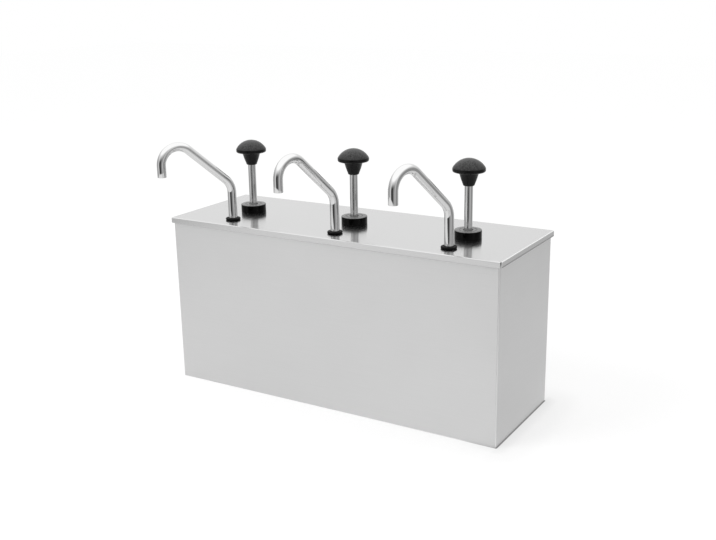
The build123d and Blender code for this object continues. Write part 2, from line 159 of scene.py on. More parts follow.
def make_camera():
    """The photograph's camera."""
    data = bpy.data.cameras.new("camera")
    data.sensor_width = SENSOR_WIDTH
    data.lens = FOCAL_PIXELS / IMAGE_WIDTH * SENSOR_WIDTH
    camera = bpy.data.objects.new("camera", data)
    bpy.context.collection.objects.link(camera)
    level = math.cos(CAMERA_ELEVATION)
    back = Vector((
        math.sin(CAMERA_AZIMUTH) * level,
        -math.cos(CAMERA_AZIMUTH) * level,
        math.sin(CAMERA_ELEVATION),
    ))
    right = Vector((0, 0, 1)).cross(back).normalized()
    up = back.cross(right)
    turned_right = right * math.cos(CAMERA_ROLL) + up * math.sin(CAMERA_ROLL)
    turned_up = up * math.cos(CAMERA_ROLL) - right * math.sin(CAMERA_ROLL)
    turn = Matrix((turned_right, turned_up, back)).transposed().to_4x4()
    camera.matrix_world = Matrix.Translation(CAMERA_PLACE) @ turn
    bpy.context.scene.camera = camera


# Studio: what the metal reflects lies all round, by compass direction and height.
# Bands and ramps are pairs of place and brightness; a place of 0 is +X, 0.25 is +Y.

LOW_BANDS = (
    (0.000, 0.34), (0.125, 0.34), (0.150, 0.62), (0.217, 0.62), (0.250, 0.90), (0.410, 0.90),
    (0.430, 0.46), (0.590, 0.46), (0.630, 0.50), (0.640, 0.66), (0.650, 0.88), (0.664, 0.92),
    (0.682, 0.84), (0.698, 0.40), (0.718, 0.06), (0.824, 0.06), (0.850, 0.34), (0.912, 0.34),
    (0.930, 0.66), (0.968, 0.66), (0.990, 0.34), (1.000, 0.34),
)
MIDDLE_LEVEL = 1.0
HIGH_LEVEL = 1.35
RISE = ((0.0, 0.0), (0.02, 0.0), (0.25, 1.0))
LATE_RISE = ((0.0, 0.0), (0.05, 0.0), (0.60, 1.0))
LATE_SIDE = ((0.0, 1.0), (0.21, 1.0), (0.25, 0.0), (0.41, 0.0), (0.45, 1.0), (1.0, 1.0))
TOP_RISE = ((0.0, MIDDLE_LEVEL), (0.45, MIDDLE_LEVEL), (0.65, HIGH_LEVEL))
DIFFUSE_LEVEL = 0.85


def make_world():
    """A pale studio: white to the camera and overhead, with darker gaps low down for metal."""
    world = bpy.data.worlds.new("studio")
    bpy.context.scene.world = world
    world.use_nodes = True
    tree = world.node_tree
    tree.nodes.clear()
    where = add(tree, "ShaderNodeTexCoord").outputs["Generated"]
    parts = add(tree, "ShaderNodeSeparateXYZ")
    tree.links.new(where, parts.inputs[0])
    compass = math_node(tree, "ARCTAN2", parts.outputs["Y"], parts.outputs["X"])
    turn = math_node(tree, "MULTIPLY", compass, 1 / (2 * math.pi))
    part = math_node(tree, "FRACT", math_node(tree, "ADD", turn, 1.0))
    low = ramp(tree, part, LOW_BANDS)
    late_side = ramp(tree, part, LATE_SIDE)
    height = parts.outputs["Z"]
    rise = blend(tree, late_side, ramp(tree, height, RISE), ramp(tree, height, LATE_RISE))
    reflected = blend(tree, rise, low, ramp(tree, height, TOP_RISE))
    rays = add(tree, "ShaderNodeLightPath")
    for_metal = add(tree, "ShaderNodeBackground")
    tree.links.new(reflected, for_metal.inputs["Color"])
    plain = add(tree, "ShaderNodeBackground", in_0=(1.0, 1.0, 1.0, 1.0), in_1=DIFFUSE_LEVEL)
    white = add(tree, "ShaderNodeBackground", in_0=(1.0, 1.0, 1.0, 1.0), in_1=1.0)
    sharp = math_node(tree, "MAXIMUM", rays.outputs["Is Glossy Ray"], rays.outputs["Is Transmission Ray"])
    lit = add(tree, "ShaderNodeMixShader")
    tree.links.new(sharp, lit.inputs["Fac"])
    tree.links.new(plain.outputs[0], lit.inputs[1])
    tree.links.new(for_metal.outputs[0], lit.inputs[2])
    seen = add(tree, "ShaderNodeMixShader")
    tree.links.new(rays.outputs["Is Camera Ray"], seen.inputs["Fac"])
    tree.links.new(lit.outputs[0], seen.inputs[1])
    tree.links.new(white.outputs[0], seen.inputs[2])
    tree.links.new(seen.outputs[0], add(tree, "ShaderNodeOutputWorld").inputs["Surface"])


# Lamp, and the floor: what the camera sees of it, the table that metal sees, and the painted shadow line at
# the box's foot

KEY_PLACE = Vector((-0.9, -1.1, 1.6))
KEY_AIM = Vector((0.0, 0.0, 0.12))
KEY_SIZE = 0.9
KEY_POWER = 9.0
FLOOR_HALF = 6.0
FLOOR_ALBEDO = 0.5
FLOOR_GLOW = 0.57
TABLE_CENTRE = (-0.25, -0.05, 0.0)
TABLE_EDGE = (0.93, 1.04)
TABLE_SIDES = (-1.0, 0.5)
TABLE_GLOWS = (
    (0.000, 0.00), (0.030, 0.02), (0.150, 0.36), (0.270, 0.40), (0.600, 0.42), (0.740, 0.48),
    (0.810, 0.49), (0.870, 0.31), (1.000, 0.31),
)
FOOT_REACH = 0.06
FOOT_SHADES = ((0.000, 0.10), (0.020, 0.22), (0.045, 0.86), (0.400, 0.95), (1.000, 1.00))
FOOT_SIDES = (-0.25, 0.25)
FOOT_SHARES = ((0.000, 0.05), (0.600, 0.10), (0.880, 0.25), (0.960, 0.60), (0.990, 0.70), (0.996, 1.00))
FOOT_BACK_GAP = 0.004


def make_lamp():
    """A soft key from the upper left front."""
    data = bpy.data.lights.new("key", "AREA")
    data.shape = "SQUARE"
    data.size = KEY_SIZE
    data.energy = KEY_POWER
    lamp = bpy.data.objects.new("key", data)
    lamp.visible_glossy = False
    bpy.context.collection.objects.link(lamp)
    aim = (KEY_AIM - KEY_PLACE).to_track_quat("-Z", "Y").to_matrix().to_4x4()
    lamp.matrix_world = Matrix.Translation(KEY_PLACE) @ aim


def foot_shade(tree, place, across):
    """A painted shadow: the dark line on the floor at the foot of the box, on its side away from the lamp.
    """
    low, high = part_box("housing_shell")
    high = high - Vector((0.0, FOOT_BACK_GAP, 0.0))
    offset = vector_node(tree, "SUBTRACT", place, (low + high) / 2)[0]
    distance = vector_node(tree, "ABSOLUTE", offset)[0]
    outside = vector_node(tree, "SUBTRACT", distance, (high - low) / 2)[0]
    gap = vector_node(tree, "MAXIMUM", outside)[0]
    length = vector_node(tree, "LENGTH", gap)["Value"]
    near = map_range(tree, length, 0.0, FOOT_REACH)
    lost = math_node(tree, "SUBTRACT", 1.0, ramp(tree, near, FOOT_SHADES))
    share = ramp(tree, map_range(tree, across, *FOOT_SIDES), FOOT_SHARES)
    return math_node(tree, "SUBTRACT", 1.0, math_node(tree, "MULTIPLY", lost, share))


def make_floor():
    """A white floor that keeps the object's shadow; metal sees it as a table of limited size."""
    bm = bmesh.new()
    bmesh.ops.create_grid(bm, x_segments=1, y_segments=1, size=FLOOR_HALF)
    mesh = bpy.data.meshes.new("floor")
    bm.to_mesh(mesh)
    bm.free()
    floor = bpy.data.objects.new("floor", mesh)
    bpy.context.collection.objects.link(floor)
    material = bpy.data.materials.new("floor")
    material.use_nodes = True
    tree = material.node_tree
    tree.nodes.clear()
    place = add(tree, "ShaderNodeTexCoord").outputs["Object"]
    rays = add(tree, "ShaderNodeLightPath")
    sharp = math_node(tree, "MAXIMUM", rays.outputs["Is Glossy Ray"], rays.outputs["Is Transmission Ray"])
    parts = add(tree, "ShaderNodeSeparateXYZ")
    tree.links.new(place, parts.inputs[0])
    side = map_range(tree, parts.outputs["X"], *TABLE_SIDES)
    for_metal = math_node(tree, "MULTIPLY", sharp, ramp(tree, side, TABLE_GLOWS))
    # Painted shadow at the box's foot darkens both the floor's glow and its colour.
    foot = foot_shade(tree, place, parts.outputs["X"])
    pale = math_node(tree, "MULTIPLY", rays.outputs["Is Camera Ray"], FLOOR_GLOW)
    for_camera = math_node(tree, "MULTIPLY", pale, foot)
    glow = add(tree, "ShaderNodeEmission", in_0=(1.0, 1.0, 1.0, 1.0))
    tree.links.new(math_node(tree, "ADD", for_metal, for_camera), glow.inputs["Strength"])
    matt = add(tree, "ShaderNodeBsdfDiffuse")
    tree.links.new(math_node(tree, "MULTIPLY", foot, FLOOR_ALBEDO), matt.inputs["Color"])
    both = add(tree, "ShaderNodeAddShader")
    tree.links.new(matt.outputs[0], both.inputs[0])
    tree.links.new(glow.outputs[0], both.inputs[1])
    reach = vector_node(tree, "DISTANCE", place, TABLE_CENTRE)["Value"]
    open_part = math_node(tree, "MULTIPLY", sharp, map_range(tree, reach, *TABLE_EDGE))
    clear = add(tree, "ShaderNodeBsdfTransparent")
    seen = add(tree, "ShaderNodeMixShader")
    tree.links.new(open_part, seen.inputs["Fac"])
    tree.links.new(both.outputs[0], seen.inputs[1])
    tree.links.new(clear.outputs[0], seen.inputs[2])
    tree.links.new(seen.outputs[0], add(tree, "ShaderNodeOutputMaterial").inputs["Surface"])
    mesh.materials.append(material)


# Surface patterns that several finishes share

BAND_STRETCH = (0.35, 0.35, 0.18)
LINE_DETAIL = 3.0
BAND_DETAIL = 2.0
BRUSH_ROUGHNESS = 0.6
PATCH_DETAIL = 4.0
SPECK_DETAIL = 2.0
SPOT_ROUGHNESS = 0.55
# Painted top light: upward faces turn paler in small spots.
TOP_LIGHT_FACING = (0.15, 0.95)
TOP_LIGHT_SPOTS = {"in_1": 0.3, "in_2": 0.7, "in_3": 0.4, "in_4": 1.6}
EDGE_FADE = (1.0, 0.6)


def new_group(name, inputs, outputs):
    """An empty shader group with named sockets; inputs are (name, kind, value), outputs are names."""
    tree = bpy.data.node_groups.new(name, "ShaderNodeTree")
    for label, kind, value in inputs:
        socket = tree.interface.new_socket(label, in_out="INPUT", socket_type=kind)
        if value is not None:
            socket.default_value = value
    for label in outputs:
        tree.interface.new_socket(label, in_out="OUTPUT", socket_type="NodeSocketFloat")
    return tree, add(tree, "NodeGroupInput"), add(tree, "NodeGroupOutput")


def make_brushing():
    """Long parallel scratches: Stretch sets how many cross a metre on each axis."""
    inputs = (("Place", "NodeSocketVector", None), ("Stretch", "NodeSocketVector", (40.0, 40.0, 4000.0)))
    tree, given, result = new_group("brushing", inputs, ("Lines", "Bands"))
    fine = vector_node(tree, "MULTIPLY", given.outputs["Place"], given.outputs["Stretch"])[0]
    coarse = vector_node(tree, "MULTIPLY", fine, BAND_STRETCH)[0]
    for source, detail, label in ((fine, LINE_DETAIL, "Lines"), (coarse, BAND_DETAIL, "Bands")):
        noise = add(tree, "ShaderNodeTexNoise", in_2=1.0, in_3=detail, in_4=BRUSH_ROUGHNESS)
        tree.links.new(source, noise.inputs["Vector"])
        tree.links.new(noise.outputs[0], result.inputs[label])
    return tree


def make_handling():
    """Soft uneven patches such as wiping leaves, and sparse fine specks."""
    inputs = (
        ("Place", "NodeSocketVector", None),
        ("Patches", "NodeSocketFloat", 14.0),
        ("Specks", "NodeSocketFloat", 900.0),
    )
    tree, given, result = new_group("handling", inputs, ("Patches", "Specks"))
    for label, detail in (("Patches", PATCH_DETAIL), ("Specks", SPECK_DETAIL)):
        noise = add(tree, "ShaderNodeTexNoise", in_3=detail, in_4=SPOT_ROUGHNESS)
        tree.links.new(given.outputs["Place"], noise.inputs["Vector"])
        tree.links.new(given.outputs[label], noise.inputs["Scale"])
        tree.links.new(noise.outputs[0], result.inputs[label])
    return tree


def make_painted_top_light():
    """Painted top light: a pale lightening, in small spots, on what faces up."""
    inputs = (
        ("Place", "NodeSocketVector", None),
        ("Facing", "NodeSocketVector", None),
        ("Spots", "NodeSocketFloat", 480.0),
    )
    tree, given, result = new_group("painted_top_light", inputs, ("TopLight",))
    parts = add(tree, "ShaderNodeSeparateXYZ")
    tree.links.new(given.outputs["Facing"], parts.inputs[0])
    upward = map_range(tree, parts.outputs["Z"], *TOP_LIGHT_FACING)
    spots = add(tree, "ShaderNodeTexNoise", in_3=SPECK_DETAIL, in_4=SPOT_ROUGHNESS)
    tree.links.new(given.outputs["Place"], spots.inputs["Vector"])
    tree.links.new(given.outputs["Spots"], spots.inputs["Scale"])
    spotted = add(tree, "ShaderNodeMapRange", **TOP_LIGHT_SPOTS)
    tree.links.new(spots.outputs[0], spotted.inputs[0])
    tree.links.new(math_node(tree, "MULTIPLY", upward, spotted.outputs[0]), result.inputs["TopLight"])
    return tree


def make_edge_lines():
    """Where two sides of a block meet, within Width: a folded sheet's bends, which get a painted highlight,
    or the bottom edges of the lid's end flanges, which get a painted shade.
    """
    inputs = (
        ("Place", "NodeSocketVector", None),
        ("Centre", "NodeSocketVector", (0.0, 0.0, 0.0)),
        ("Half", "NodeSocketVector", (1.0, 1.0, 1.0)),
        ("Width", "NodeSocketFloat", 0.001),
    )
    tree, given, result = new_group("edge_lines", inputs, ("Edges",))
    offset = vector_node(tree, "SUBTRACT", given.outputs["Place"], given.outputs["Centre"])[0]
    distance = vector_node(tree, "ABSOLUTE", offset)[0]
    inside = vector_node(tree, "SUBTRACT", given.outputs["Half"], distance)[0]
    parts = add(tree, "ShaderNodeSeparateXYZ")
    tree.links.new(inside, parts.inputs[0])
    sides = []
    for axis in ("X", "Y", "Z"):
        depth = math_node(tree, "DIVIDE", parts.outputs[axis], given.outputs["Width"])
        sides.append(map_range(tree, depth, *EDGE_FADE))
    total = math_node(tree, "ADD", math_node(tree, "ADD", sides[0], sides[1]), sides[2])
    both = math_node(tree, "MAXIMUM", math_node(tree, "SUBTRACT", total, 1.0), 0.0)
    tree.links.new(math_node(tree, "MINIMUM", both, 1.0), result.inputs["Edges"])
    return tree


def make_turning():
    """Fine rings along the height, as a lathe leaves on plastic."""
    inputs = (("Place", "NodeSocketVector", None), ("Rings", "NodeSocketFloat", 1400.0))
    tree, given, result = new_group("turning", inputs, ("Rings",))
    parts = add(tree, "ShaderNodeSeparateXYZ")
    tree.links.new(given.outputs["Place"], parts.inputs[0])
    height = math_node(tree, "MULTIPLY", parts.outputs["Z"], given.outputs["Rings"])
    noise = add(tree, "ShaderNodeTexNoise", noise_dimensions="1D", in_3=SPECK_DETAIL)
    noise.inputs["Scale"].default_value = 1.0
    tree.links.new(height, noise.inputs["W"])
    tree.links.new(noise.outputs[0], result.inputs["Rings"])
    return tree


brushing = make_brushing()
handling = make_handling()
painted_top_light = make_painted_top_light()
edge_lines = make_edge_lines()
turning = make_turning()


# Finishes


def new_finish(name):
    """A material with its shader and object coordinates."""
    material = bpy.data.materials.new(name)
    material.use_nodes = True
    tree = material.node_tree
    shader = tree.nodes["Principled BSDF"]
    place = add(tree, "ShaderNodeTexCoord").outputs["Object"]
    return material, tree, shader, place


def use_group(tree, group, place, **values):
    """One of the shared patterns on a finish, with its own values."""
    node = add(tree, "ShaderNodeGroup", node_tree=group)
    tree.links.new(place, node.inputs["Place"])
    for name, value in values.items():
        node.inputs[name].default_value = value
    return node.outputs


def relief(tree, shader, height, strength, distance):
    """Bump from a height socket."""
    bump = add(tree, "ShaderNodeBump")
    bump.inputs["Strength"].default_value = strength
    bump.inputs["Distance"].default_value = distance
    tree.links.new(height, bump.inputs["Height"])
    tree.links.new(bump.outputs[0], shader.inputs["Normal"])


# Painted highlight on the bends: a pale colour, with its own roughness.
BEND_HIGHLIGHT_COLOUR = tone(242)
BEND_HIGHLIGHT_ROUGHNESS = 0.30
# Painted shade for the bottom edges of the lid's end flanges.
FLANGE_SHADE_COLOUR = tone(168)
LINE_SHARE = 0.6
BAND_SHARE = 0.4
BAND_GLOSS = (-0.02, 0.02)
SCRATCH_DEPTH = 0.00002
SKIN_DEPTH = 0.00003
RING_DEPTH = 0.00004


def brushed_steel(name, levels, roughness, stretch, blur, pull, relief_strength, bends=None, cuts=None):
    """Brushed stainless sheet; blur is the direction that its reflections smear in."""
    material, tree, shader, place = new_finish(name)
    grain = use_group(tree, brushing, place, Stretch=stretch)
    marks = use_group(tree, handling, place)
    fine = math_node(tree, "MULTIPLY", grain["Lines"], LINE_SHARE)
    shade = math_node(tree, "ADD", fine, math_node(tree, "MULTIPLY", grain["Bands"], BAND_SHARE))
    low, high = levels
    colour = blend(tree, shade, tone(low), tone(high))
    across = spread(tree, grain["Bands"], *BAND_GLOSS)
    rough = math_node(tree, "ADD", across, spread(tree, marks["Patches"], *roughness))
    # Painted highlight: the bends are blended toward a pale colour.
    if bends is not None:
        bend_highlight = use_group(tree, edge_lines, place, **bends)["Edges"]
        colour = blend(tree, bend_highlight, colour, BEND_HIGHLIGHT_COLOUR)
        bend_highlight_roughness = (BEND_HIGHLIGHT_ROUGHNESS, BEND_HIGHLIGHT_ROUGHNESS, BEND_HIGHLIGHT_ROUGHNESS, 1.0)
        rough = blend(tree, bend_highlight, rough, bend_highlight_roughness)
    # Painted shade: the bottom edges of the end flanges are blended toward a darker grey.
    if cuts is not None:
        flange_shade_mask = use_group(tree, edge_lines, place, **cuts)["Edges"]
        colour = blend(tree, flange_shade_mask, colour, FLANGE_SHADE_COLOUR)
    tree.links.new(colour, shader.inputs["Base Color"])
    tree.links.new(rough, shader.inputs["Roughness"])
    shader.inputs["Metallic"].default_value = 1.0
    shader.inputs["Anisotropic"].default_value = pull
    tangent = add(tree, "ShaderNodeCombineXYZ", in_0=blur[0], in_1=blur[1], in_2=blur[2])
    tree.links.new(tangent.outputs[0], shader.inputs["Tangent"])
    relief(tree, shader, grain["Lines"], relief_strength, SCRATCH_DEPTH)
    return material


def polished_steel(name, levels, roughness):
    """Bright polished steel with hairline scratches."""
    material, tree, shader, place = new_finish(name)
    marks = use_group(tree, handling, place, Patches=60.0, Specks=2500.0)
    low, high = levels
    tree.links.new(blend(tree, marks["Patches"], tone(low), tone(high)), shader.inputs["Base Color"])
    shader.inputs["Metallic"].default_value = 1.0
    tree.links.new(spread(tree, marks["Patches"], *roughness), shader.inputs["Roughness"])
    relief(tree, shader, marks["Specks"], 0.04, SCRATCH_DEPTH)
    return material


def moulded_plastic(name, levels, roughness, ior, painted_top_light_level=None, tint=(1.0, 1.0)):
    """Moulded plastic, a little uneven, with a fine skin; its upper faces may have painted top light, paler
    in small spots.
    """
    material, tree, shader, place = new_finish(name)
    marks = use_group(tree, handling, place, Patches=90.0, Specks=2200.0)
    low, high = levels
    colour = blend(tree, marks["Patches"], tone(low, *tint), tone(high, *tint))
    # Painted top light: upward faces are blended toward a paler grey.
    if painted_top_light_level is not None:
        top_lit = use_group(tree, painted_top_light, place)["TopLight"]
        facing = add(tree, "ShaderNodeTexCoord").outputs["Normal"]
        tree.links.new(facing, top_lit.node.inputs["Facing"])
        colour = blend(tree, top_lit, colour, tone(painted_top_light_level, *tint))
    tree.links.new(colour, shader.inputs["Base Color"])
    shader.inputs["IOR"].default_value = ior
    tree.links.new(spread(tree, marks["Patches"], *roughness), shader.inputs["Roughness"])
    relief(tree, shader, marks["Specks"], 0.12, SKIN_DEPTH)
    return material


def turned_plastic(name, levels, roughness, tint=(1.0, 1.0)):
    """Plastic turned on a lathe, with faint rings."""
    material, tree, shader, place = new_finish(name)
    rings = use_group(tree, turning, place)
    marks = use_group(tree, handling, place, Patches=40.0)
    low, high = levels
    colour = blend(tree, marks["Patches"], tone(low, *tint), tone(high, *tint))
    tree.links.new(colour, shader.inputs["Base Color"])
    tree.links.new(spread(tree, rings["Rings"], *roughness), shader.inputs["Roughness"])
    relief(tree, shader, rings["Rings"], 0.25, RING_DEPTH)
    return material


# The blocks whose edges carry the painted highlight on the bends and the painted shade on the bottom edges
# of the lid's end flanges. FAR puts a side where no surface is near it.

BEND_WIDTH = 0.0016
FLANGE_SHADE_WIDTH = 0.0022
FAR = 9.0
FLANGE_SHADE_HALF = 1.0
lid_low, lid_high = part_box("lid")
shell_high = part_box("housing_shell")[1]
# Painted highlight along the bends of the lid and the shell.
LID_BENDS = {"Half": (lid_high.x, FAR, lid_high.z), "Width": BEND_WIDTH}
SHELL_BENDS = {"Half": (shell_high.x, shell_high.y, FAR), "Width": BEND_WIDTH}
# Painted shade along the bottom edges of the lid's end flanges.
LID_FLANGE_SHADE = {
    "Centre": (0.0, 0.0, lid_low.z + FLANGE_SHADE_HALF),
    "Half": (lid_high.x, FAR, FLANGE_SHADE_HALF),
    "Width": FLANGE_SHADE_WIDTH,
}

FINISHES = {
    "brushed_sheet": (brushed_steel, {
        "levels": (219, 227), "roughness": (0.40, 0.48), "stretch": (30.0, 30.0, 3200.0),
        "blur": (0.0, 0.2, 1.0), "pull": 0.75, "relief_strength": 0.25, "bends": SHELL_BENDS,
    }),
    "lid_sheet": (brushed_steel, {
        "levels": (204, 212), "roughness": (0.12, 0.135), "stretch": (30.0, 3600.0, 3600.0),
        "blur": (0.0, 1.0, 0.2), "pull": 0.95, "relief_strength": 0.10, "bends": LID_BENDS, "cuts": LID_FLANGE_SHADE,
    }),
    "jar_steel": (brushed_steel, {
        "levels": (196, 208), "roughness": (0.34, 0.44), "stretch": (60.0, 60.0, 2600.0),
        "blur": (0.0, 0.2, 1.0), "pull": 0.55, "relief_strength": 0.25,
    }),
    "polished_steel": (polished_steel, {"levels": (216, 224), "roughness": (0.02, 0.04)}),
    "spring_steel": (polished_steel, {"levels": (180, 200), "roughness": (0.22, 0.34)}),
    "ball_steel": (polished_steel, {"levels": (214, 224), "roughness": (0.05, 0.08)}),
    "black_plastic": (moulded_plastic, {
        "levels": (6, 12), "roughness": (0.28, 0.38), "ior": 1.3, "painted_top_light_level": 74,
    }),
    "nut_plastic": (moulded_plastic, {
        "levels": (2, 6), "roughness": (0.10, 0.16), "ior": 1.22, "painted_top_light_level": 124,
    }),
    "white_plastic": (turned_plastic, {
        "levels": (228, 236), "roughness": (0.38, 0.5), "tint": (1.0, 0.98),
    }),
    "grey_plastic": (turned_plastic, {
        "levels": (148, 158), "roughness": (0.4, 0.52), "tint": (0.99, 1.02),
    }),
    "black_rubber": (moulded_plastic, {"levels": (4, 10), "roughness": (0.45, 0.6), "ior": 1.2}),
    "silicone": (moulded_plastic, {
        "levels": (218, 228), "roughness": (0.34, 0.46), "ior": 1.41, "tint": (1.0, 0.99),
    }),
}
finishes = {name: maker(name, **values) for name, (maker, values) in FINISHES.items()}


def dress_frame():
    """Each CAD node takes the finish of its slot."""
    for part in frame["record"]["subparts"]:
        for slot in frame["nodes"][part["node"]].material_slots:
            slot.material = finishes[part["material_slot"]]


# Turned and swept pieces; their sizes are in millimetres, their heights from the floor

SMOOTH_ANGLE = math.radians(32)
MERGE_DISTANCE = 0.000001
TURN_STEPS = 72


def middle(node):
    """The upright axis of a node, from its box."""
    low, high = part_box(node)
    return Vector(((low.x + high.x) / 2, (low.y + high.y) / 2, 0.0))


def finish_piece(bm, name, place, body, slot, node, finish=None):
    """The mesh moved to its place, dressed and set on its body, in its node's stead."""
    bmesh.ops.remove_doubles(bm, verts=bm.verts, dist=MERGE_DISTANCE)
    bmesh.ops.recalc_face_normals(bm, faces=bm.faces)
    bmesh.ops.translate(bm, verts=bm.verts, vec=place)
    for face in bm.faces:
        face.smooth = True
    mesh = bpy.data.meshes.new(name)
    bm.to_mesh(mesh)
    bm.free()
    mesh.set_sharp_from_angle(angle=SMOOTH_ANGLE)
    mesh.materials.append(finishes[finish or slot])
    piece = bpy.data.objects.new(name, mesh)
    bpy.context.collection.objects.link(piece)
    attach(piece, body)
    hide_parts(node)
    return piece


def start(bm, radius, height):
    """The first point of an outline, in millimetres."""
    return bm.verts.new((radius * MM, 0.0, height * MM))


def line(bm, pen, *points):
    """Straight runs of an outline from point to point."""
    for radius, height in points:
        new = start(bm, radius, height)
        bm.edges.new((pen, new))
        pen = new
    return pen


def arc(bm, pen, centre, degrees, steps):
    """A round run of an outline about a centre; a positive turn is clockwise as drawn."""
    made = bmesh.ops.spin(
        bm, geom=[pen], cent=(centre[0] * MM, 0.0, centre[1] * MM), axis=(0, 1, 0), dvec=(0, 0, 0),
        angle=math.radians(degrees), steps=steps, use_merge=False, use_duplicate=False,
    )
    return [item for item in made["geom_last"] if isinstance(item, bmesh.types.BMVert)][0]


def turn_outline(bm, steps):
    """The whole outline spun about the upright axis."""
    bmesh.ops.spin(
        bm, geom=bm.verts[:] + bm.edges[:], cent=(0, 0, 0), axis=(0, 0, 1), dvec=(0, 0, 0),
        angle=2 * math.pi, steps=steps, use_merge=True, use_duplicate=False,
    )


KNOB_TOP = 340.0
KNOB_RADIUS = 21.0
DOME_HEIGHT = 12.6
LIP_HEIGHT = 4.8
SHOULDER_ROUND = 2.4
LIP_ROUND = 2.2
HUB_TOP_RADIUS = 12.6
HUB_MIDDLE_RADIUS = 10.2
HUB_BOTTOM_RADIUS = 7.55
HUB_FILLET = 0.8
KNOB_BOTTOM = 305.0
HUB_ROUND = 1.8
ROD_RADIUS = 5.4
ROD_TOP = 320.0
HOLE_GAP = 0.05


def make_knob(number):
    """The domed knob: crown, rounded rim, flat underside, tapered hub and the hole for its rod."""
    bm = bmesh.new()
    dome_radius = (KNOB_RADIUS**2 + DOME_HEIGHT**2) / (2 * DOME_HEIGHT)
    dome_centre = KNOB_TOP - dome_radius
    inset = KNOB_RADIUS - SHOULDER_ROUND
    lift = math.sqrt((dome_radius - SHOULDER_ROUND)**2 - inset**2)
    dome_angle = math.degrees(math.atan2(inset, lift))
    under = KNOB_TOP - DOME_HEIGHT - LIP_HEIGHT
    hub_middle = (under + KNOB_BOTTOM) / 2
    pen = start(bm, 0.0, KNOB_TOP)
    pen = arc(bm, pen, (0.0, dome_centre), dome_angle, 18)
    pen = arc(bm, pen, (inset, dome_centre + lift), 90 - dome_angle, 5)
    pen = line(bm, pen, (KNOB_RADIUS, under + LIP_ROUND))
    pen = arc(bm, pen, (KNOB_RADIUS - LIP_ROUND, under + LIP_ROUND), 90, 7)
    pen = line(bm, pen, (HUB_TOP_RADIUS + HUB_FILLET, under), (HUB_TOP_RADIUS, under - HUB_FILLET))
    pen = line(bm, pen, (HUB_MIDDLE_RADIUS, hub_middle), (HUB_BOTTOM_RADIUS, KNOB_BOTTOM + HUB_ROUND))
    pen = arc(bm, pen, (HUB_BOTTOM_RADIUS - HUB_ROUND, KNOB_BOTTOM + HUB_ROUND), 90, 5)
    hole = ROD_RADIUS + HOLE_GAP
    line(bm, pen, (hole, KNOB_BOTTOM), (hole, ROD_TOP), (0.0, ROD_TOP))
    turn_outline(bm, TURN_STEPS)
    node = f"knob_{number}"
    finish_piece(bm, f"domed_knob_{number}", middle(node), f"plunger_{number}", "black_plastic", node)


NUT_BOTTOM = 238.0
NUT_TOP = 248.4
NUT_RADIUS = 17.6
NUT_ROUND = 0.6
NUT_HOLE = 6.2
NUT_ROOF = 246.2
THREAD_RADIUS = 12.8
GROOVE_OUTER = 11.5
GROOVE_INNER = 10.7
GROOVE_DEPTH = 0.4
CHAMFER = 0.35


def make_lock_nut(number):
    """The round nut: eased outer edge, a ring groove on top and the hole for the rod."""
    bm = bmesh.new()
    first = start(bm, NUT_HOLE, NUT_ROOF)
    pen = line(bm, first, (NUT_HOLE, NUT_TOP - CHAMFER), (NUT_HOLE + CHAMFER, NUT_TOP))
    pen = line(bm, pen, (GROOVE_INNER, NUT_TOP), (GROOVE_INNER, NUT_TOP - GROOVE_DEPTH))
    pen = line(bm, pen, (GROOVE_OUTER, NUT_TOP - GROOVE_DEPTH), (GROOVE_OUTER, NUT_TOP))
    pen = line(bm, pen, (NUT_RADIUS - NUT_ROUND, NUT_TOP))
    pen = arc(bm, pen, (NUT_RADIUS - NUT_ROUND, NUT_TOP - NUT_ROUND), 90, 4)
    pen = line(bm, pen, (NUT_RADIUS, NUT_BOTTOM + CHAMFER), (NUT_RADIUS - CHAMFER, NUT_BOTTOM))
    pen = line(bm, pen, (THREAD_RADIUS, NUT_BOTTOM), (THREAD_RADIUS, NUT_ROOF))
    bm.edges.new((pen, first))
    turn_outline(bm, TURN_STEPS)
    node = f"lock_nut_{number}"
    finish_piece(bm, f"round_nut_{number}", middle(node), "lid", "black_plastic", node, "nut_plastic")


GROMMET_BORE = 6.05
BEAD_BOTTOM = 238.0
BEAD_TOP = 241.0
BEAD_ROUND = 1.5
GROMMET_RADIUS = 10.2
GROMMET_NECK = 8.0
SHEET_UNDERSIDE = 237.2
FLANGE_BOTTOM = 235.2
FLANGE_ROUND = 0.5
BORE_ROUND = 0.8
NECK_GAP = 0.01
GROMMET_STEPS = 56


def make_grommet(number):
    """The rubber grommet: a round bead above the lid, a neck through it and a flange below."""
    bm = bmesh.new()
    first = start(bm, GROMMET_BORE, FLANGE_BOTTOM)
    pen = line(bm, first, (GROMMET_BORE, BEAD_TOP - BORE_ROUND))
    pen = arc(bm, pen, (GROMMET_BORE + BORE_ROUND, BEAD_TOP - BORE_ROUND), 90, 4)
    pen = line(bm, pen, (GROMMET_RADIUS - BEAD_ROUND, BEAD_TOP))
    pen = arc(bm, pen, (GROMMET_RADIUS - BEAD_ROUND, BEAD_TOP - BEAD_ROUND), 180, 12)
    neck = GROMMET_NECK - NECK_GAP
    pen = line(bm, pen, (neck, BEAD_BOTTOM), (neck, SHEET_UNDERSIDE))
    pen = line(bm, pen, (GROMMET_RADIUS - FLANGE_ROUND, SHEET_UNDERSIDE))
    pen = arc(bm, pen, (GROMMET_RADIUS - FLANGE_ROUND, SHEET_UNDERSIDE - FLANGE_ROUND), 90, 3)
    pen = line(bm, pen, (GROMMET_RADIUS, FLANGE_BOTTOM + FLANGE_ROUND))
    pen = arc(bm, pen, (GROMMET_RADIUS - FLANGE_ROUND, FLANGE_BOTTOM + FLANGE_ROUND), 90, 3)
    bm.edges.new((pen, first))
    turn_outline(bm, GROMMET_STEPS)
    node = f"spout_grommet_{number}"
    finish_piece(bm, f"rubber_grommet_{number}", middle(node), "lid", "black_rubber", node)


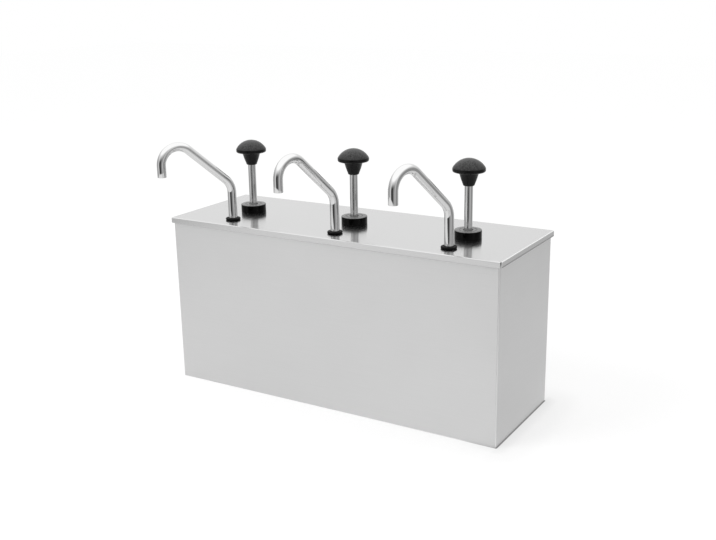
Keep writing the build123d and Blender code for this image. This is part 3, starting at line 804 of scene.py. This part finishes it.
TUBE_RADIUS = 6.0
BORE_RADIUS = 5.0
LID_TOP = 238.0
CORNER_HEIGHT = 50.0
RISER_BEND = 25.0
INCLINE = 41.4
REACH = 98.7
TOP_BEND = 23.3
TIP_HEIGHT = 70.3
TUBE_FOOT = 58.3
YAWS = (27.5, 10.8, 14.4)
TUBE_SIDES = 40
LOWER_STEPS = 16
UPPER_STEPS = 36
TIP_ROUND = 0.35


def run(bm, loops, forward, length):
    """The tube's two walls drawn out straight."""
    made = bmesh.ops.extrude_edge_only(bm, edges=loops)
    fresh = made["geom"]
    ends = [item for item in fresh if isinstance(item, bmesh.types.BMVert)]
    bmesh.ops.translate(bm, verts=ends, vec=forward * length * MM)
    there = set(ends)
    return [item for item in fresh if isinstance(item, bmesh.types.BMEdge) and set(item.verts) <= there]


def bend(bm, loops, centre, degrees, steps):
    """The tube's two walls bent about a centre in the plane of the spout."""
    made = bmesh.ops.spin(
        bm, geom=loops, cent=centre * MM, axis=(1, 0, 0), dvec=(0, 0, 0), angle=math.radians(degrees),
        steps=steps, use_merge=False, use_duplicate=False,
    )
    return [item for item in made["geom_last"] if isinstance(item, bmesh.types.BMEdge)]


def make_spout(number):
    """The bent tube: riser, soft lower bend, incline, round top bend and the short straight tip."""
    bm = bmesh.new()
    for radius in (TUBE_RADIUS, BORE_RADIUS):
        bmesh.ops.create_circle(bm, segments=TUBE_SIDES, radius=radius * MM)
    bmesh.ops.translate(bm, verts=bm.verts, vec=(0.0, 0.0, TUBE_FOOT * MM))
    foot = bm.edges[:]
    lean = math.radians(INCLINE)
    up = Vector((0.0, 0.0, 1.0))
    along = Vector((0.0, -math.cos(lean), math.sin(lean)))
    lower_turn = 90 - INCLINE
    upper_turn = 90 + INCLINE
    lower_cut = RISER_BEND * math.tan(math.radians(lower_turn / 2))
    upper_cut = TOP_BEND * math.tan(math.radians(upper_turn / 2))
    corner = LID_TOP + CORNER_HEIGHT
    peak = corner + REACH * math.tan(lean)
    incline_length = REACH / math.cos(lean) - lower_cut - upper_cut
    loops = run(bm, foot, up, corner - lower_cut - TUBE_FOOT)
    loops = bend(bm, loops, Vector((0.0, -RISER_BEND, corner - lower_cut)), lower_turn, LOWER_STEPS)
    loops = run(bm, loops, along, incline_length)
    loops = bend(bm, loops, Vector((0.0, TOP_BEND - REACH, peak - upper_cut)), upper_turn, UPPER_STEPS)
    tip = run(bm, loops, -up, peak - upper_cut - LID_TOP - TIP_HEIGHT)
    for ends in (foot, tip):
        bmesh.ops.bridge_loops(bm, edges=ends)
    bmesh.ops.bevel(
        bm, geom=tip, offset=TIP_ROUND * MM, segments=3, profile=0.5, affect="EDGES", material=-1,
    )
    turn = Matrix.Rotation(-math.radians(YAWS[number - 1]), 3, "Z")
    bmesh.ops.rotate(bm, verts=bm.verts, cent=(0, 0, 0), matrix=turn)
    node = f"spout_tube_{number}"
    place = middle(f"spout_grommet_{number}")
    finish_piece(bm, f"bent_spout_{number}", place, f"spout_{number}", "polished_steel", node)


SPRING_RADIUS = 10.0
WIRE_RADIUS = 0.9
WIRE_SIDES = 12
SPRING_TURNS = 10
END_PITCH = 2.5
STEPS_A_TURN = 36


def make_spring(number):
    """The return spring: a screwed wire with close end turns."""
    node = f"return_spring_{number}"
    low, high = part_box(node)
    bm = bmesh.new()
    bmesh.ops.create_circle(bm, segments=WIRE_SIDES, radius=WIRE_RADIUS * MM)
    bmesh.ops.rotate(bm, verts=bm.verts, cent=(0, 0, 0), matrix=Matrix.Rotation(math.pi / 2, 3, "X"))
    bmesh.ops.translate(bm, verts=bm.verts, vec=(SPRING_RADIUS * MM, 0.0, low.z + WIRE_RADIUS * MM))
    foot = bm.edges[:]
    rise = high.z - low.z - 2 * WIRE_RADIUS * MM - 2 * END_PITCH * MM
    loops = foot
    for turns, climb in ((1, END_PITCH * MM), (SPRING_TURNS - 2, rise), (1, END_PITCH * MM)):
        steps = turns * STEPS_A_TURN
        made = bmesh.ops.spin(
            bm, geom=loops, cent=(0, 0, 0), axis=(0, 0, 1), dvec=(0, 0, climb / steps),
            angle=2 * math.pi * turns, steps=steps, use_merge=False, use_duplicate=False,
        )
        loops = [item for item in made["geom_last"] if isinstance(item, bmesh.types.BMEdge)]
    for ends in (foot, loops):
        bmesh.ops.edgeloop_fill(bm, edges=ends)
    piece = finish_piece(
        bm, f"coil_spring_{number}", middle(f"pump_barrel_{number}"), "lid", "spring_steel", node)
    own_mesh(piece)


bpy.context.scene.view_settings.view_transform = "Standard"
make_camera()
make_world()
make_lamp()
make_floor()
dress_frame()
for number in PUMPS:
    make_knob(number)
    make_lock_nut(number)
    make_grommet(number)
    make_spout(number)
    make_spring(number)
